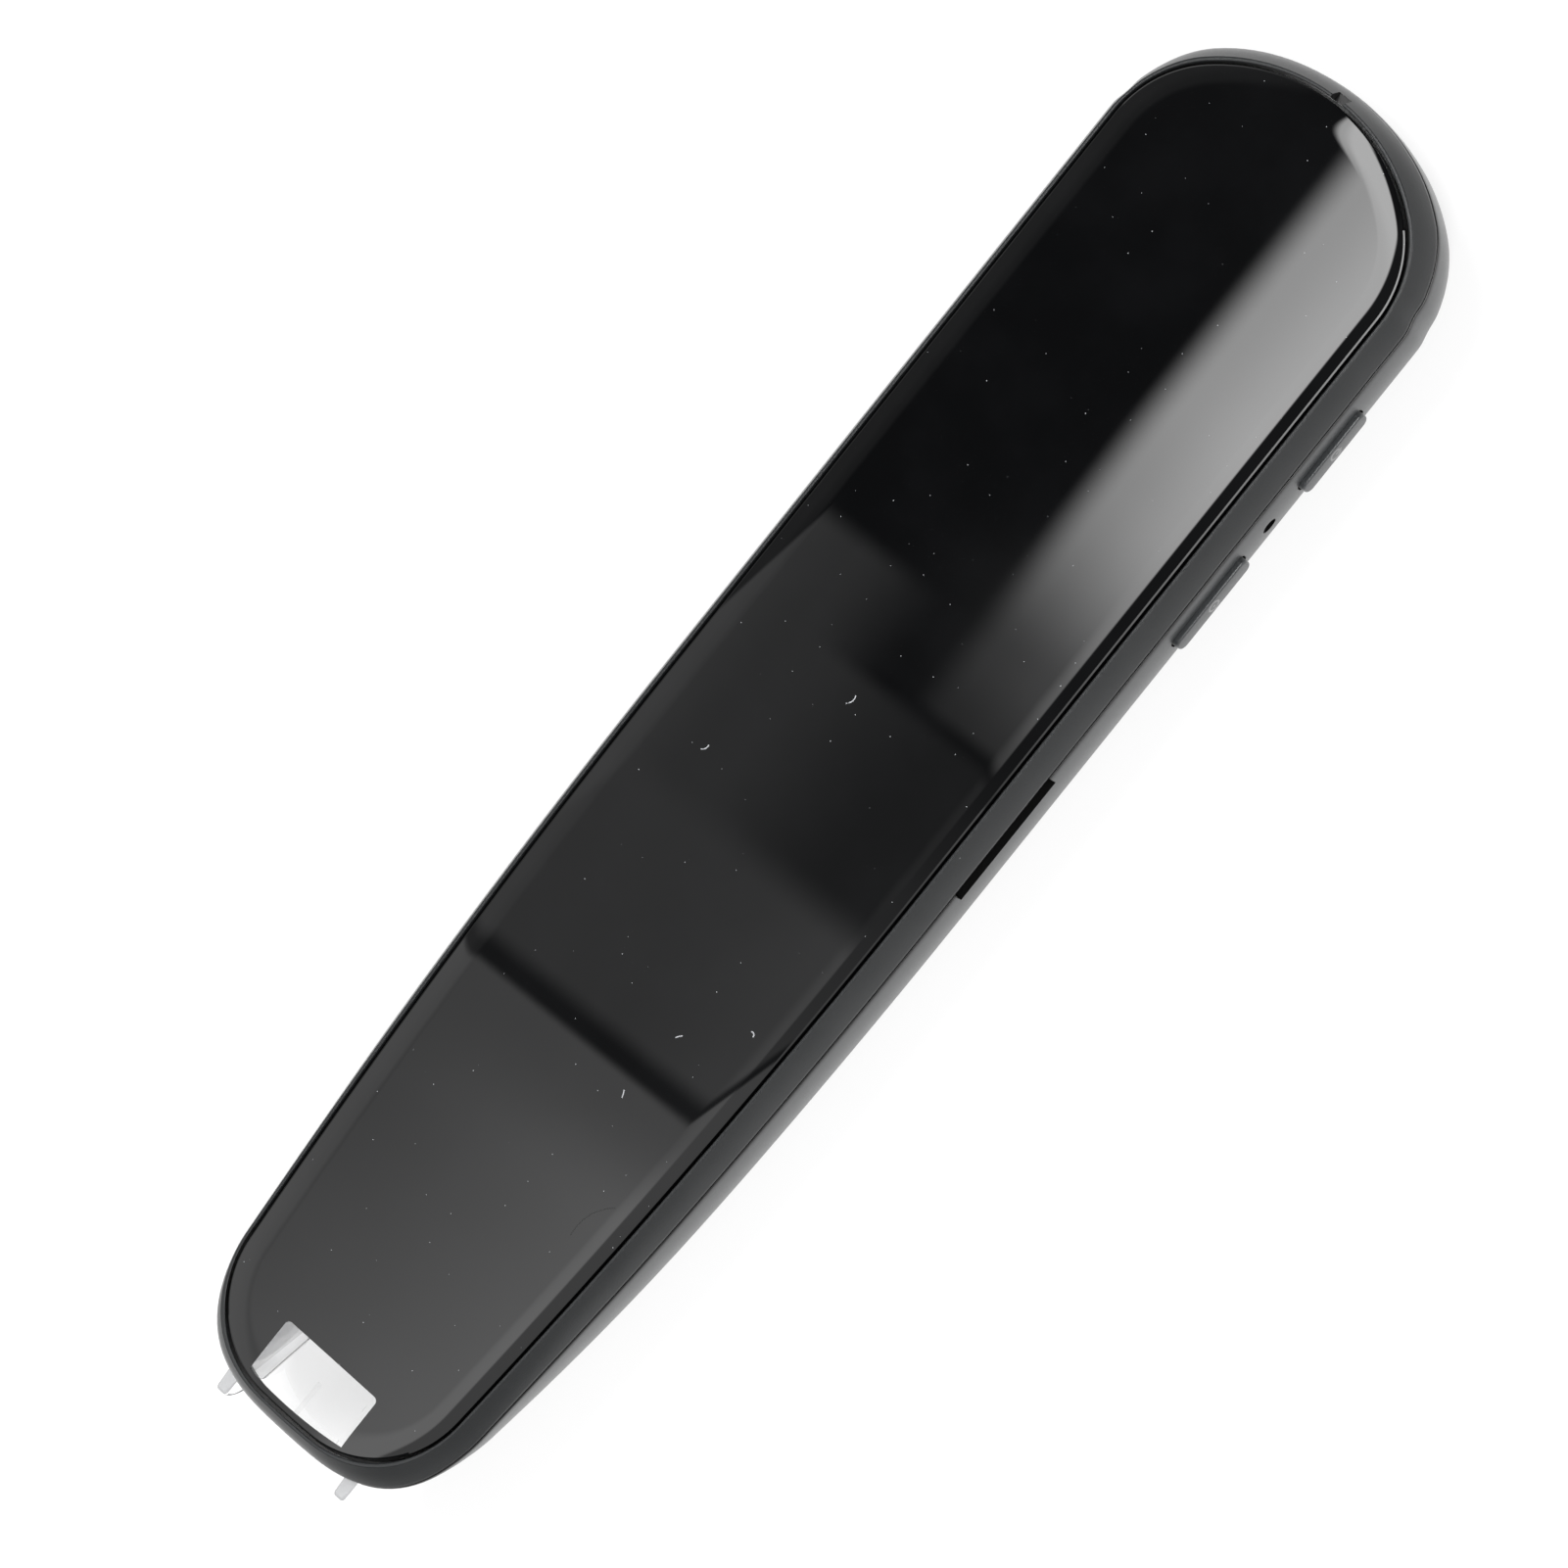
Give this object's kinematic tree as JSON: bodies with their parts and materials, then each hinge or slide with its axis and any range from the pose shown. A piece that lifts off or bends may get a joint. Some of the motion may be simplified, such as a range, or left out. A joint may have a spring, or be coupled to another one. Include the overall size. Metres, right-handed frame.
{
  "type": "scanning pen",
  "caption": "Slim handheld scanning pen: curved-edge front glass with a clear tip window, grey shell, side keys, sound slot and a clear sprung scan nose with prongs.",
  "frame": {"origin": "on the flat back face, under the middle of the front glass", "axes": "+Y from the scanning tip to the far end, +X to the key side, +Z out of the front glass"},
  "size_m": [0.036, 0.1548, 0.0127],
  "materials": {
    "housing_grey": "satin",
    "glass_black": "gloss",
    "clear_plastic": "clear",
    "gasket_black": "matt",
    "display_dark": "satin",
    "steel": "satin",
    "board_green": "satin",
    "chip_black": "matt",
    "flex_amber": "satin",
    "battery_silver": "satin",
    "lead_red": "matt",
    "lens_glass": "clear",
    "led_white": "satin",
    "rubber_black": "matt"
  },
  "bodies": {
    "housing": {"rear_cover": "housing_grey", "front_frame": "housing_grey", "front_glass": "glass_black", "glass_gasket": "gasket_black", "display_panel": "display_dark", "display_flex": "flex_amber", "display_connector": "chip_black", "mid_plate": "steel", "main_board": "board_green", "processor_can": "steel", "memory_chip": "chip_black", "radio_can": "steel", "power_chip": "chip_black", "battery": "battery_silver", "battery_board": "board_green", "battery_plug": "chip_black", "battery_lead": "lead_red", "speaker_body": "chip_black", "speaker_cone": "rubber_black", "speaker_mesh": "gasket_black", "power_switch": "chip_black", "function_switch": "chip_black", "key_board": "board_green", "side_microphone": "steel", "microphone_boot": "rubber_black", "end_microphone": "steel", "usb_shell": "steel", "usb_tongue": "chip_black", "usb_board": "board_green", "camera_housing": "chip_black", "camera_barrel": "chip_black", "camera_lens": "lens_glass", "sensor_board": "board_green", "camera_flex": "flex_amber", "light_board": "board_green", "led_left": "led_white", "led_right": "led_white", "scan_bracket": "chip_black", "nose_spring_left": "steel", "nose_spring_right": "steel", "nose_switch": "chip_black", "cover_screw_1": "steel", "cover_screw_2": "steel", "cover_screw_3": "steel", "cover_screw_4": "steel", "board_screw_1": "steel", "board_screw_2": "steel"},
    "power_key_body": {"power_key": "housing_grey", "power_plunger": "steel"},
    "function_key_body": {"function_key": "housing_grey", "function_plunger": "steel"},
    "scan_nose_body": {"scan_nose": "clear_plastic", "nose_plunger": "steel"}
  },
  "joints": [
    {"name": "power_key_press", "type": "slide", "parent": "housing", "child": "power_key_body", "axis": [-1, 0, 0], "range_m": [0, 0.00035], "stiffness_N_per_m": 5000},
    {"name": "function_key_press", "type": "slide", "parent": "housing", "child": "function_key_body", "axis": [-1, 0, 0], "range_m": [0, 0.00035], "stiffness_N_per_m": 5000},
    {"name": "scan_nose_press", "type": "slide", "parent": "housing", "child": "scan_nose_body", "axis": [0, 1, 0], "range_m": [0, 0.0006], "stiffness_N_per_m": 1500}
  ]
}
